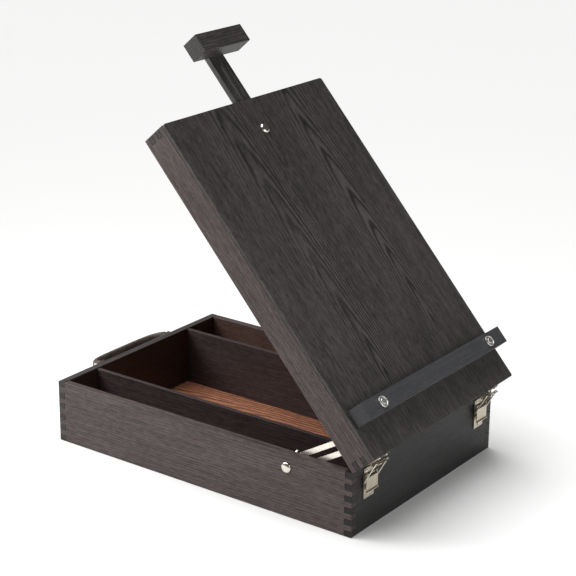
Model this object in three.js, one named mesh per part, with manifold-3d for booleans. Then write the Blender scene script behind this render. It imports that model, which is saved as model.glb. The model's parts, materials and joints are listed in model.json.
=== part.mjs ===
// Table-top box easel: a finger-jointed sketch box whose lid tilts up on two slotted
// stays and carries a canvas ledge and a sliding mast with a clamp head.
//
// Millimetres, +Z up. The origin is the centre of the underside of the box, at table
// height. The lid hinges along the front edge, at -Y, where the painter sits.

import * as THREE from 'three';
import { mergeVertices } from 'three/addons/utils/BufferGeometryUtils.js';
import Module from 'manifold-3d';

// ---------------------------------------------------------------- driving dimensions

// Box and lid
const BOX_WIDTH = 292;
const BOX_LENGTH = 420;
const BASE_HEIGHT = 75.5;
const LID_DEPTH = 35.5;
const BOARD = 9;
const LID_PANEL = 3.5;
const FLOOR_PANEL = 3;
const LID_TILT = THREE.MathUtils.degToRad(48.4);
const LID_WIDEST_TILT = THREE.MathUtils.degToRad(63.4);
const PANEL_CORNER = 3;

// Finger joints: how many steps share the height of a corner
const BASE_STEPS = 11;
const LID_STEPS = 5;

// Clearances
const GAP = 0.3;
const RUNNING_FIT = 0.5;

// Compartments
const DIVIDER = 5;
const SIDE_BAY = 49;
const DIVIDER_DROP = 1;

// Mast and clamp head
const MAST_WIDTH = 26.8;
const MAST_THICKNESS = 6;
const MAST_LENGTH = 380;
const MAST_EXTENSION = 61;
const MAST_SLOT = 4.8;
const MAST_SLOT_TOP = 34;
const MAST_SLOT_FOOT = 20;
const MAST_BOLT = 4;
const MAST_BOLT_FROM_TOP = 39;
const HEAD_WIDTH = 82;
const HEAD_HEIGHT = 22.5;
const HEAD_DEPTH = 23;

// Canvas ledge
const LEDGE_INSET = 3.5;
const LEDGE_HEIGHT = 20.5;
const LEDGE_DEPTH = 22;
const LEDGE_FROM_HINGE = 36.5;
const LEDGE_BOLT_INSET = 35;
const LEDGE_BOLT = 5;
const LEDGE_CAP_RADIUS = 6.6;
const LEDGE_CAP_HEIGHT = 2.4;
const LEDGE_CAP_RING = 1.2;
const LEDGE_CAP_BUTTON = 3.3;
const LEDGE_CAP_HOLLOW = 0.7;
const LEDGE_NUT_RADIUS = 4.6;
const LEDGE_NUT_HEIGHT = 4;
const NUT_SIDES = 6;

// Lid stays
const STAY_WIDTH = 18;
const STAY_THICKNESS = 1.5;
const STAY_SLOT = 6;
const STAY_SLOT_START = 16;
const STAY_SLOT_SPARE = 1;
const STAY_BOLT = 5;
const STAY_BOLT_FROM_FRONT = 86;
const STAY_BOLT_BELOW_RIM = 17;
const STAY_PIN_UP_LID = 26.6;
const STAY_PIN_BELOW_PANEL = 14;
const STAY_PIN_RADIUS = 2.5;
const STAY_PIN_HEAD = 4.5;
const STAY_PIN_HEAD_HEIGHT = 1.6;

// Bolt heads, washers and wing nuts
const DOME_RADIUS = 6.3;
const DOME_HEIGHT = 2.8;
const WASHER_RADIUS = 6.5;
const WASHER_THICKNESS = 1;
const WING_HUB_RADIUS = 5;
const WING_HUB_TOP = 3.7;
const WING_HUB_HEIGHT = 7;
const WING_SPAN = 26;
const WING_HEIGHT = 11;
const WING_THICKNESS = 2.2;
const WING_FOOT = 1.2;
const WING_LOBE = 3;
const THREAD_TAIL = 2;

// Toggle latches
const LATCH_FROM_SIDE = 30.5;
const LATCH_WIDTH = 22;
const LATCH_SHEET = 1;
const SHEET_CORNER = 1.2;
const LATCH_PLATE_TOP = 2;
const LATCH_PLATE_LENGTH = 35.5;
const LATCH_EAR_RADIUS = 2.4;
const LATCH_PIVOT_DROP = 9.5;
const LATCH_PIVOT_OUT = 2.6;
const LATCH_PIN_RADIUS = 0.9;
const LEVER_TOP = 7.3;
const LEVER_FACE_TOP = 11.8;
const LEVER_FOOT = 27.5;
const LEVER_CHEEK_FOOT = 20.5;
const LEVER_FACE = 5.4;
const LEVER_TURN_UP = 1.4;
const BAIL_WIRE = 1.6;
const BAIL_LENGTH = 29.5;
const BAIL_DROP = 17.4;
const BAIL_LEAN_FRONT = THREE.MathUtils.degToRad(28.8);
const BAIL_LEAN_BACK = THREE.MathUtils.degToRad(180);
const SCREW_HOLE_RADIUS = 1.5;
const SCREW_HOLE_INSET = 4;
const PLATE_SCREW_OUT = 5.5;
const PLATE_SCREW_DROP = 3.4;
const CATCH_START = 3;
const CATCH_END = 25;
const CATCH_HOOK_START = 8.6;
const CATCH_LIP_END_FRONT = 22.5;
const CATCH_LIP_END_BACK = 13.6;
const CATCH_HOOK_REACH = 7.1;
const CATCH_HOOK_WIDTH = 15;
const CATCH_SCREW_OUT = 6.6;
const CATCH_SCREW_INSET = 3;

// Carrying handle
const HANDLE_HEIGHT = 67.5;
const HANDLE_SPAN = 124;
const HANDLE_PIVOT_OUT = 8.2;
const HANDLE_REACH = 20;
const HANDLE_DROOP = THREE.MathUtils.degToRad(16);
const HANDLE_LEG_STRAIGHT = 7;
const HANDLE_LEG_BEND = 14;
const HANDLE_LEG_LEVEL = 18.4;
const GRIP_WIDTH = 12;
const GRIP_THICKNESS = 8;
const GRIP_STEPS = 28;
const HANDLE_EYE_RADIUS = 4.2;
const HANDLE_PIN_RADIUS = 1.5;
const BRACKET_ABOVE = 5.5;
const BRACKET_BELOW = 20;
const BRACKET_SHEET = 1.5;
const BRACKET_LUG_HALF = 3.6;
const BRACKET_SCREW_DROPS = [8.5, 16];

// Smoothness of round shapes
const ROUND_SIDES = 20;
const SMALL_SIDES = 12;
const WIRE_SIDES = 8;
const ARC_SEGMENTS = 5;
const CORNER_SEGMENTS = 2;

// ---------------------------------------------------------------- worked-out places

const HALF_WIDTH = BOX_WIDTH / 2;
const HALF_LENGTH = BOX_LENGTH / 2;
const INNER_HALF_WIDTH = HALF_WIDTH - BOARD;
const PANEL_UNDERSIDE = LID_DEPTH - LID_PANEL;
const MAST_FACE = PANEL_UNDERSIDE - GAP;
const MAST_BACK = MAST_FACE - MAST_THICKNESS;
const MAST_BOLT_PLACE = BOX_LENGTH - MAST_BOLT_FROM_TOP;
const HEAD_FOOT = BOX_LENGTH + MAST_EXTENSION;
const MAST_TOP = HEAD_FOOT + HEAD_HEIGHT;
const LEDGE_MIDDLE = LEDGE_FROM_HINGE + LEDGE_HEIGHT / 2;
const LEDGE_BOLT_X = HALF_WIDTH - LEDGE_BOLT_INSET;

// ---------------------------------------------------------------- finishes

const finish = (color, roughness, metalness) =>
  new THREE.MeshStandardMaterial({ color, roughness, metalness });
const stainedWood = () => finish(0x2b2725, 0.55, 0);
const litWood = () => finish(0x4a4441, 0.55, 0);
const brownPly = () => finish(0x5a3f38, 0.6, 0);
const nickel = () => finish(0xcfc8b8, 0.25, 1);
const leather = () => finish(0x3a302c, 0.6, 0);

// ---------------------------------------------------------------- solids

const wasm = await Module();
wasm.setup();

/** A closed geometry as a solid that can be joined and cut. */
function toSolid(geometry) {
  const bare = geometry.index ? geometry.toNonIndexed() : geometry.clone();
  bare.deleteAttribute('normal');
  bare.deleteAttribute('uv');
  const merged = mergeVertices(bare, 1e-4);
  const corners = [];
  const index = merged.index.array;
  for (let i = 0; i < index.length; i += 3) {
    const [a, b, c] = index.slice(i, i + 3);
    const isFlat = a === b || b === c || c === a;
    if (!isFlat) corners.push(a, b, c);
  }
  return new wasm.Manifold(new wasm.Mesh({
    numProp: 3,
    vertProperties: new Float32Array(merged.attributes.position.array),
    triVerts: new Uint32Array(corners),
  }));
}

/** The solid's surface as a geometry. */
function toGeometry(solid) {
  const { vertProperties, triVerts } = solid.getMesh();
  const geometry = new THREE.BufferGeometry();
  geometry.setAttribute('position', new THREE.BufferAttribute(vertProperties, 3));
  geometry.setIndex(new THREE.BufferAttribute(triVerts, 1));
  geometry.computeVertexNormals();
  return geometry;
}

const join = (...geometries) =>
  toGeometry(geometries.map(toSolid).reduce((sum, solid) => sum.add(solid)));

const cut = (geometry, ...tools) =>
  toGeometry(tools.map(toSolid).reduce((rest, tool) => rest.subtract(tool), toSolid(geometry)));

/** A box given by its lowest and highest corners. */
function block(low, high) {
  const size = high.map((value, axis) => value - low[axis]);
  const middle = high.map((value, axis) => (value + low[axis]) / 2);
  return new THREE.BoxGeometry(...size).translate(...middle);
}

/** A rod along X, centred at x, y, z. */
function rodAlongX(radius, length, x, y, z, sides = SMALL_SIDES) {
  return new THREE.CylinderGeometry(radius, radius, length, sides)
    .rotateZ(Math.PI / 2)
    .translate(x, y, z);
}

/** A rod along Z, centred at x, y, z. */
function rodAlongZ(radius, length, x, y, z, sides = SMALL_SIDES) {
  return new THREE.CylinderGeometry(radius, radius, length, sides)
    .rotateX(Math.PI / 2)
    .translate(x, y, z);
}

/** A rod along Y, centred at x, y, z. */
function rodAlongY(radius, length, x, y, z, sides = SMALL_SIDES) {
  return new THREE.CylinderGeometry(radius, radius, length, sides).translate(x, y, z);
}

/** A flat outline pushed out along +Z. */
const sheet = (outline, thickness, curveSegments = ARC_SEGMENTS) =>
  new THREE.ExtrudeGeometry(outline, { depth: thickness, bevelEnabled: false, curveSegments });

/** Turns a geometry drawn in X, Y and pushed along Z to lie in Y, Z and push along X. */
const facingX = (geometry) => geometry.applyMatrix4(new THREE.Matrix4().makeBasis(
  new THREE.Vector3(0, 1, 0),
  new THREE.Vector3(0, 0, 1),
  new THREE.Vector3(1, 0, 0),
));

/** Turns a geometry drawn in X, Y and pushed along Z to lie in X, Z and push along -Y. */
const facingMinusY = (geometry) => geometry.rotateX(Math.PI / 2);

/** A turned shape about the Z axis from [radius, height] pairs, axis to axis, going up. */
function turned(profile, sides = ROUND_SIDES) {
  const points = profile.map(([radius, height]) => new THREE.Vector2(radius, height));
  return new THREE.LatheGeometry(points, sides).rotateX(Math.PI / 2);
}

/** A closed outline with four rounded corners. */
function roundedRectangle(left, bottom, right, top, radius) {
  const shape = new THREE.Shape();
  shape.moveTo(left + radius, bottom);
  shape.lineTo(right - radius, bottom);
  shape.absarc(right - radius, bottom + radius, radius, -Math.PI / 2, 0, false);
  shape.lineTo(right, top - radius);
  shape.absarc(right - radius, top - radius, radius, 0, Math.PI / 2, false);
  shape.lineTo(left + radius, top);
  shape.absarc(left + radius, top - radius, radius, Math.PI / 2, Math.PI, false);
  shape.lineTo(left, bottom + radius);
  shape.absarc(left + radius, bottom + radius, radius, Math.PI, Math.PI * 1.5, false);
  return shape;
}

/** A slot with round ends, from one end centre to the other along X. */
function slotOutline(start, end, width, Outline = THREE.Shape) {
  const slot = new Outline();
  const radius = width / 2;
  slot.absarc(end, 0, radius, -Math.PI / 2, Math.PI / 2, false);
  slot.absarc(start, 0, radius, Math.PI / 2, Math.PI * 1.5, false);
  slot.closePath();
  return slot;
}

function roundHole(x, y, radius) {
  const hole = new THREE.Path();
  hole.absarc(x, y, radius, 0, Math.PI * 2, true);
  return hole;
}

/** A round wire through the points, with a ball at each bend. */
function wire(points, radius) {
  const up = new THREE.Vector3(0, 1, 0);
  const runs = points.slice(1).map((to, i) => {
    const run = to.clone().sub(points[i]);
    const turn = new THREE.Quaternion().setFromUnitVectors(up, run.clone().normalize());
    const middle = points[i].clone().addScaledVector(run, 0.5);
    return new THREE.CylinderGeometry(radius, radius, run.length(), WIRE_SIDES)
      .applyQuaternion(turn)
      .translate(...middle);
  });
  const bends = points.slice(1, -1).map((point) =>
    new THREE.SphereGeometry(radius, WIRE_SIDES, WIRE_SIDES / 2).translate(...point));
  return join(...runs, ...bends);
}

const model = new THREE.Group();
const lid = new THREE.Group();
lid.position.set(0, -HALF_LENGTH, BASE_HEIGHT);
lid.rotation.x = LID_TILT;
model.add(lid);

/** Adds one named piece to a group. */
function addPiece(group, name, geometry, material) {
  const mesh = new THREE.Mesh(geometry, material);
  mesh.name = name;
  group.add(mesh);
  return mesh;
}

// ---------------------------------------------------------------- finger-jointed boards

/**
 * The outline of a board with finger joints at both ends, centred on X, from foot to
 * crown on Y. The board owns the odd or the even steps; on the others it is cut back
 * to let the neighbour's fingers through. A notch may be sunk into the top edge.
 */
function fingerBoard({ length, foot, crown, steps, ownsEven, notchWidth = 0, notchDepth = 0 }) {
  const half = length / 2;
  const cutBack = half - BOARD - GAP;
  const step = (crown - foot) / steps;
  const rightSide = [];
  for (let i = 0; i < steps; i++) {
    const isFinger = (i % 2 === 0) === ownsEven;
    const reach = isFinger ? half : cutBack;
    const inset = isFinger ? GAP / 2 : -GAP / 2;
    const low = i === 0 ? foot : foot + i * step + inset;
    const high = i === steps - 1 ? crown : foot + (i + 1) * step - inset;
    rightSide.push([reach, low], [reach, high]);
  }
  const leftSide = rightSide.map(([x, y]) => [-x, y]).reverse();
  const notch = notchWidth > 0 ? [
    [notchWidth / 2, crown],
    [notchWidth / 2, crown - notchDepth],
    [-notchWidth / 2, crown - notchDepth],
    [-notchWidth / 2, crown],
  ] : [];
  const outline = [...rightSide, ...notch, ...leftSide];
  return new THREE.Shape(outline.map(([x, y]) => new THREE.Vector2(x, y)));
}

function addBaseWalls() {
  const height = { foot: 0, crown: BASE_HEIGHT, steps: BASE_STEPS };
  for (const [side, direction] of [['left', -1], ['right', 1]]) {
    const outline = fingerBoard({ length: BOX_LENGTH, ownsEven: false, ...height });
    outline.holes.push(roundHole(
      -HALF_LENGTH + STAY_BOLT_FROM_FRONT,
      BASE_HEIGHT - STAY_BOLT_BELOW_RIM,
      STAY_BOLT / 2 + GAP,
    ));
    const inner = direction > 0 ? INNER_HALF_WIDTH : -HALF_WIDTH;
    const wall = facingX(sheet(outline, BOARD)).translate(inner, 0, 0);
    addPiece(model, `base_${side}_wall`, wall, litWood());
  }
  for (const [side, direction] of [['front', -1], ['back', 1]]) {
    const outline = fingerBoard({ length: BOX_WIDTH, ownsEven: true, ...height });
    const outer = direction > 0 ? HALF_LENGTH : -HALF_LENGTH + BOARD;
    const wall = facingMinusY(sheet(outline, BOARD)).translate(0, outer, 0);
    addPiece(model, `base_${side}_wall`, wall, stainedWood());
  }
}

function addBaseInside() {
  const innerX = INNER_HALF_WIDTH - GAP;
  const innerY = HALF_LENGTH - BOARD - GAP;
  const floor = block([-innerX, -innerY, 0], [innerX, innerY, FLOOR_PANEL]);
  addPiece(model, 'base_floor_panel', floor, brownPly());
  for (const [side, direction] of [['left', -1], ['right', 1]]) {
    const near = direction * (INNER_HALF_WIDTH - SIDE_BAY);
    const far = near - direction * DIVIDER;
    const divider = block(
      [Math.min(near, far), -innerY, FLOOR_PANEL + GAP],
      [Math.max(near, far), innerY, BASE_HEIGHT - DIVIDER_DROP],
    );
    addPiece(model, `${side}_divider`, divider, brownPly());
  }
}

// ---------------------------------------------------------------- lid frame and panel

function addLidRails() {
  const depth = { foot: GAP, crown: PANEL_UNDERSIDE - GAP, steps: LID_STEPS };
  for (const [side, direction] of [['left', -1], ['right', 1]]) {
    const outline = fingerBoard({ length: BOX_LENGTH, ownsEven: true, ...depth });
    const inner = direction > 0 ? INNER_HALF_WIDTH : -HALF_WIDTH;
    const rail = facingX(sheet(outline, BOARD)).translate(inner, HALF_LENGTH, 0);
    addPiece(lid, `lid_${side}_rail`, rail, litWood());
  }
  const lower = fingerBoard({ length: BOX_WIDTH, ownsEven: false, ...depth });
  const lowerRail = facingMinusY(sheet(lower, BOARD)).translate(0, BOARD, 0);
  addPiece(lid, 'lid_lower_rail', lowerRail, stainedWood());
  const upper = fingerBoard({
    length: BOX_WIDTH,
    ownsEven: false,
    notchWidth: MAST_WIDTH + 2 * RUNNING_FIT,
    notchDepth: MAST_THICKNESS + RUNNING_FIT,
    ...depth,
  });
  const upperRail = facingMinusY(sheet(upper, BOARD)).translate(0, BOX_LENGTH, 0);
  addPiece(lid, 'lid_upper_rail', upperRail, stainedWood());
}

function addLidPanel() {
  const outline = roundedRectangle(-HALF_WIDTH, 0, HALF_WIDTH, BOX_LENGTH, PANEL_CORNER);
  outline.holes.push(roundHole(0, MAST_BOLT_PLACE, MAST_BOLT / 2 + GAP));
  for (const side of [-1, 1]) {
    outline.holes.push(roundHole(side * LEDGE_BOLT_X, LEDGE_MIDDLE, LEDGE_BOLT / 2 + GAP));
  }
  const panel = sheet(outline, LID_PANEL, CORNER_SEGMENTS * 2).translate(0, 0, PANEL_UNDERSIDE);
  addPiece(lid, 'lid_panel', panel, stainedWood());
}

// ---------------------------------------------------------------- bolts and wing nuts

/** A dome-headed bolt about Z: the head's underside is at z = 0, the shank runs down. */
function domeBolt(boltDiameter, length) {
  const radius = boltDiameter / 2;
  const curve = (DOME_RADIUS ** 2 + DOME_HEIGHT ** 2) / (2 * DOME_HEIGHT);
  const opening = Math.asin(DOME_RADIUS / curve);
  const profile = [[0, -length], [radius, -length], [radius, 0], [DOME_RADIUS, 0]];
  const arcSteps = 4;
  for (let i = 1; i <= arcSteps; i++) {
    const angle = opening * (1 - i / arcSteps);
    const height = DOME_HEIGHT - curve * (1 - Math.cos(angle));
    profile.push([curve * Math.sin(angle), height]);
  }
  return turned(profile);
}

/** A flat washer about Z, on z = 0 upwards. */
function washer(boltDiameter) {
  const outline = new THREE.Shape().absarc(0, 0, WASHER_RADIUS, 0, Math.PI * 2, false);
  outline.holes.push(roundHole(0, 0, boltDiameter / 2 + GAP));
  return sheet(outline, WASHER_THICKNESS, ROUND_SIDES / 2);
}

/** A wing nut about Z, its foot on z = 0, its two wings rising along X. */
function wingNut(boltDiameter) {
  const hub = turned([
    [0, 0],
    [WING_HUB_RADIUS, 0],
    [WING_HUB_TOP, WING_HUB_HEIGHT],
    [0, WING_HUB_HEIGHT],
  ], SMALL_SIDES);
  const wing = new THREE.Shape();
  const root = WING_HUB_TOP - WING_THICKNESS;
  const tip = WING_SPAN / 2;
  wing.moveTo(root, WING_FOOT);
  wing.lineTo(WING_HUB_RADIUS, WING_FOOT);
  wing.quadraticCurveTo(tip - WING_FOOT, WING_LOBE, tip, WING_HEIGHT - WING_LOBE);
  wing.quadraticCurveTo(tip, WING_HEIGHT, tip - WING_LOBE, WING_HEIGHT);
  wing.quadraticCurveTo(WING_HUB_RADIUS, WING_HEIGHT, root, WING_HUB_HEIGHT - WING_FOOT);
  const rightWing = sheet(wing, WING_THICKNESS, 4)
    .rotateX(Math.PI / 2)
    .translate(0, WING_THICKNESS / 2, 0);
  const leftWing = rightWing.clone().rotateZ(Math.PI);
  const bore = rodAlongZ(boltDiameter / 2 + GAP, WING_HUB_HEIGHT * 3, 0, 0, WING_HUB_HEIGHT);
  return cut(join(hub, rightWing, leftWing), bore);
}

// ---------------------------------------------------------------- mast

/** The mast, its slot and the clamp head, drawn in the lid's own frame. */
function addMast() {
  const outline = new THREE.Shape([
    new THREE.Vector2(MAST_TOP - MAST_LENGTH, -MAST_WIDTH / 2),
    new THREE.Vector2(MAST_TOP, -MAST_WIDTH / 2),
    new THREE.Vector2(MAST_TOP, MAST_WIDTH / 2),
    new THREE.Vector2(MAST_TOP - MAST_LENGTH, MAST_WIDTH / 2),
  ]);
  const slotStart = MAST_TOP - MAST_LENGTH + MAST_SLOT_FOOT;
  const slotEnd = MAST_TOP - MAST_SLOT_TOP;
  outline.holes.push(slotOutline(slotStart, slotEnd, MAST_SLOT, THREE.Path));
  const mast = sheet(outline, MAST_THICKNESS)
    .rotateZ(Math.PI / 2)
    .translate(0, 0, MAST_BACK);
  addPiece(lid, 'mast', mast, litWood());
  const head = block(
    [-HEAD_WIDTH / 2, HEAD_FOOT, MAST_FACE + GAP],
    [HEAD_WIDTH / 2, MAST_TOP, MAST_FACE + GAP + HEAD_DEPTH],
  );
  addPiece(lid, 'mast_head', head, litWood());
}

/** The bolt that clamps the mast to the lid, with its washer and wing nut inside. */
function addMastClamp() {
  const washerFoot = MAST_BACK - GAP - WASHER_THICKNESS;
  const nutFoot = washerFoot - GAP;
  const boltLength = LID_DEPTH + GAP - nutFoot + WING_HUB_HEIGHT + THREAD_TAIL;
  const bolt = domeBolt(MAST_BOLT, boltLength).translate(0, MAST_BOLT_PLACE, LID_DEPTH + GAP);
  addPiece(lid, 'mast_bolt', bolt, nickel());
  const ring = washer(MAST_BOLT).translate(0, MAST_BOLT_PLACE, washerFoot);
  addPiece(lid, 'mast_washer', ring, nickel());
  const nut = wingNut(MAST_BOLT).rotateY(Math.PI).translate(0, MAST_BOLT_PLACE, nutFoot);
  addPiece(lid, 'mast_wing_nut', nut, nickel());
}

// ---------------------------------------------------------------- canvas ledge

/** A bolt with a flat ringed cap, its cap's underside on z = 0 and its shank down. */
function ringedBolt(length) {
  const rim = LEDGE_CAP_RADIUS - LEDGE_CAP_RING;
  const floor = LEDGE_CAP_HEIGHT - LEDGE_CAP_HOLLOW;
  return turned([
    [0, -length],
    [LEDGE_BOLT / 2, -length],
    [LEDGE_BOLT / 2, 0],
    [LEDGE_CAP_RADIUS, 0],
    [LEDGE_CAP_RADIUS, floor],
    [rim, LEDGE_CAP_HEIGHT],
    [LEDGE_CAP_BUTTON + LEDGE_CAP_HOLLOW, floor],
    [LEDGE_CAP_BUTTON, LEDGE_CAP_HEIGHT],
    [0, LEDGE_CAP_HEIGHT],
  ]);
}

function addLedge() {
  const foot = LID_DEPTH + GAP;
  const reach = HALF_WIDTH - LEDGE_INSET;
  const boltLength = LEDGE_DEPTH + LID_PANEL + LEDGE_NUT_HEIGHT + 4 * GAP + THREAD_TAIL;
  const outline = new THREE.Shape([
    new THREE.Vector2(-reach, LEDGE_FROM_HINGE),
    new THREE.Vector2(reach, LEDGE_FROM_HINGE),
    new THREE.Vector2(reach, LEDGE_FROM_HINGE + LEDGE_HEIGHT),
    new THREE.Vector2(-reach, LEDGE_FROM_HINGE + LEDGE_HEIGHT),
  ]);
  for (const side of [-1, 1]) {
    outline.holes.push(roundHole(side * LEDGE_BOLT_X, LEDGE_MIDDLE, LEDGE_BOLT / 2 + GAP));
  }
  addPiece(lid, 'ledge', sheet(outline, LEDGE_DEPTH).translate(0, 0, foot), stainedWood());
  for (const [name, side] of [['left', -1], ['right', 1]]) {
    const x = side * LEDGE_BOLT_X;
    const bolt = ringedBolt(boltLength).translate(x, LEDGE_MIDDLE, foot + LEDGE_DEPTH + GAP);
    addPiece(lid, `ledge_bolt_${name}`, bolt, nickel());
    const corners = Array.from({ length: NUT_SIDES }, (_, corner) => {
      const angle = corner * 2 * Math.PI / NUT_SIDES;
      return new THREE.Vector2(Math.cos(angle), Math.sin(angle))
        .multiplyScalar(LEDGE_NUT_RADIUS);
    });
    const nutOutline = new THREE.Shape(corners);
    nutOutline.holes.push(roundHole(0, 0, LEDGE_BOLT / 2 + GAP));
    const nut = sheet(nutOutline, LEDGE_NUT_HEIGHT)
      .translate(x, LEDGE_MIDDLE, PANEL_UNDERSIDE - GAP - LEDGE_NUT_HEIGHT);
    addPiece(lid, `ledge_nut_${name}`, nut, nickel());
  }
}

// ---------------------------------------------------------------- lid stays

/** Where a stay's upper pin and its clamping bolt are at a tilt of the lid, as [y, z]. */
function stayEnds(tilt) {
  const up = STAY_PIN_UP_LID;
  const out = PANEL_UNDERSIDE - STAY_PIN_BELOW_PANEL;
  const pinY = up * Math.cos(tilt) - out * Math.sin(tilt);
  const pinZ = up * Math.sin(tilt) + out * Math.cos(tilt);
  return {
    pin: [-HALF_LENGTH + pinY, BASE_HEIGHT + pinZ],
    bolt: [-HALF_LENGTH + STAY_BOLT_FROM_FRONT, BASE_HEIGHT - STAY_BOLT_BELOW_RIM],
  };
}

/** The slotted steel arm, lying in Y, Z, with its upper hole at the pin. */
function stayPlate() {
  const widest = stayEnds(LID_WIDEST_TILT);
  const slotEnd = STAY_SLOT_SPARE
    + Math.hypot(widest.bolt[0] - widest.pin[0], widest.bolt[1] - widest.pin[1]);
  const { pin, bolt } = stayEnds(LID_TILT);
  const slope = Math.atan2(bolt[1] - pin[1], bolt[0] - pin[0]);
  const outline = slotOutline(0, slotEnd, STAY_WIDTH);
  outline.holes.push(roundHole(0, 0, STAY_PIN_RADIUS + GAP));
  outline.holes.push(slotOutline(STAY_SLOT_START, slotEnd, STAY_SLOT, THREE.Path));
  return facingX(sheet(outline, STAY_THICKNESS))
    .rotateX(slope)
    .translate(0, ...pin);
}

/** The headed pin at the top of a stay, about Z: its foot is at z = 0. */
function stayPin() {
  const shoulder = STAY_THICKNESS + 2 * GAP;
  const top = shoulder + STAY_PIN_HEAD_HEIGHT;
  const chamfer = STAY_PIN_HEAD_HEIGHT / 2;
  return turned([
    [0, GAP],
    [STAY_PIN_RADIUS, GAP],
    [STAY_PIN_RADIUS, shoulder],
    [STAY_PIN_HEAD, shoulder],
    [STAY_PIN_HEAD, top - chamfer],
    [STAY_PIN_HEAD - chamfer, top],
    [0, top],
  ]);
}

/** Both stays, each with its pin, clamping bolt, washer and wing nut. */
function addStays() {
  const { pin, bolt } = stayEnds(LID_TILT);
  const washerFoot = INNER_HALF_WIDTH - STAY_THICKNESS - 2 * GAP;
  const nutFoot = washerFoot - WASHER_THICKNESS - GAP;
  const boltLength = HALF_WIDTH + GAP - nutFoot + WING_HUB_HEIGHT + THREAD_TAIL;
  for (const [name, side] of [['left', -1], ['right', 1]]) {
    // Turns a piece made about +Z so that +Z points from the middle out through the wall.
    const outwards = (geometry) => geometry.rotateY(side * Math.PI / 2);
    const inwards = (geometry) => geometry.rotateY(-side * Math.PI / 2);
    const inner = side * (INNER_HALF_WIDTH - GAP);
    const stay = stayPlate().translate(Math.min(inner, inner - side * STAY_THICKNESS), 0, 0);
    addPiece(model, `stay_${name}`, stay, nickel());
    const pinPiece = inwards(stayPin()).translate(side * INNER_HALF_WIDTH, ...pin);
    addPiece(model, `stay_pin_${name}`, pinPiece, nickel());
    const boltPiece = outwards(domeBolt(STAY_BOLT, boltLength))
      .translate(side * (HALF_WIDTH + GAP), ...bolt);
    addPiece(model, `stay_bolt_${name}`, boltPiece, nickel());
    const ring = inwards(washer(STAY_BOLT)).translate(side * washerFoot, ...bolt);
    addPiece(model, `stay_washer_${name}`, ring, nickel());
    const nut = inwards(wingNut(STAY_BOLT)).translate(side * nutFoot, ...bolt);
    addPiece(model, `stay_wing_nut_${name}`, nut, nickel());
  }
}

// ---------------------------------------------------------------- toggle latches

// Latch pieces are drawn about the seam: X along it, -Y out from the wall, Z up.

const LATCH_HALF = LATCH_WIDTH / 2;
const PLATE_HALF = LATCH_HALF - LATCH_SHEET - GAP;

/** The screwed-down plate with two round ears that carry the lever's pin. */
function latchPlate() {
  const back = -GAP;
  const foot = -LATCH_PLATE_TOP - LATCH_PLATE_LENGTH;
  const outline = roundedRectangle(-PLATE_HALF, foot, PLATE_HALF, -LATCH_PLATE_TOP, SHEET_CORNER);
  outline.holes.push(roundHole(0, foot + SCREW_HOLE_INSET, SCREW_HOLE_RADIUS));
  for (const side of [-1, 1]) {
    outline.holes.push(roundHole(side * PLATE_SCREW_OUT, -LATCH_PLATE_TOP - PLATE_SCREW_DROP,
      SCREW_HOLE_RADIUS));
  }
  const plate = facingMinusY(sheet(outline, LATCH_SHEET, CORNER_SEGMENTS)).translate(0, back, 0);
  const ears = [-1, 1].flatMap((side) => {
    const middle = side * (PLATE_HALF - LATCH_SHEET / 2);
    const root = block(
      [middle - LATCH_SHEET / 2, -LATCH_PIVOT_OUT, -LATCH_PIVOT_DROP - LATCH_EAR_RADIUS],
      [middle + LATCH_SHEET / 2, back - LATCH_SHEET / 2, -LATCH_PIVOT_DROP + LATCH_EAR_RADIUS],
    );
    const eye = rodAlongX(LATCH_EAR_RADIUS, LATCH_SHEET,
      middle, -LATCH_PIVOT_OUT, -LATCH_PIVOT_DROP);
    return [root, eye];
  });
  const bore = rodAlongX(LATCH_PIN_RADIUS + GAP, LATCH_WIDTH * 2,
    0, -LATCH_PIVOT_OUT, -LATCH_PIVOT_DROP);
  return cut(join(plate, ...ears), bore);
}

function latchPin() {
  return rodAlongX(LATCH_PIN_RADIUS, LATCH_WIDTH - GAP, 0, -LATCH_PIVOT_OUT, -LATCH_PIVOT_DROP);
}

/**
 * The finger lever: a face with two cheeks that straddle the ears. The bail's ends sit in
 * notches that open towards the wall.
 */
function latchLever() {
  const inside = -LEVER_FACE + LATCH_SHEET;
  const face = block(
    [-LATCH_HALF, -LEVER_FACE, -LEVER_FOOT],
    [LATCH_HALF, inside, -LEVER_FACE_TOP],
  );
  const lip = block(
    [-LATCH_HALF, -LEVER_FACE - LEVER_TURN_UP, -LEVER_FOOT - LATCH_SHEET / 2],
    [LATCH_HALF, inside, -LEVER_FOOT + LATCH_SHEET / 2],
  );
  const cheeks = [-1, 1].map((side) => block(
    [Math.min(side * (LATCH_HALF - LATCH_SHEET), side * LATCH_HALF), -LEVER_FACE,
      -LEVER_CHEEK_FOOT],
    [Math.max(side * (LATCH_HALF - LATCH_SHEET), side * LATCH_HALF), -LATCH_SHEET - 2 * GAP,
      -LEVER_TOP],
  ));
  const pinBore = rodAlongX(LATCH_PIN_RADIUS + GAP, LATCH_WIDTH * 2,
    0, -LATCH_PIVOT_OUT, -LATCH_PIVOT_DROP);
  const notch = BAIL_WIRE / 2 + GAP;
  const wireBore = rodAlongX(notch, LATCH_WIDTH * 2, 0, -LATCH_PIVOT_OUT, -BAIL_DROP);
  const wireMouth = block(
    [-LATCH_WIDTH, -LATCH_PIVOT_OUT, -BAIL_DROP - notch],
    [LATCH_WIDTH, GAP, -BAIL_DROP + notch],
  );
  return cut(join(face, lip, ...cheeks), pinBore, wireBore, wireMouth);
}

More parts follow.
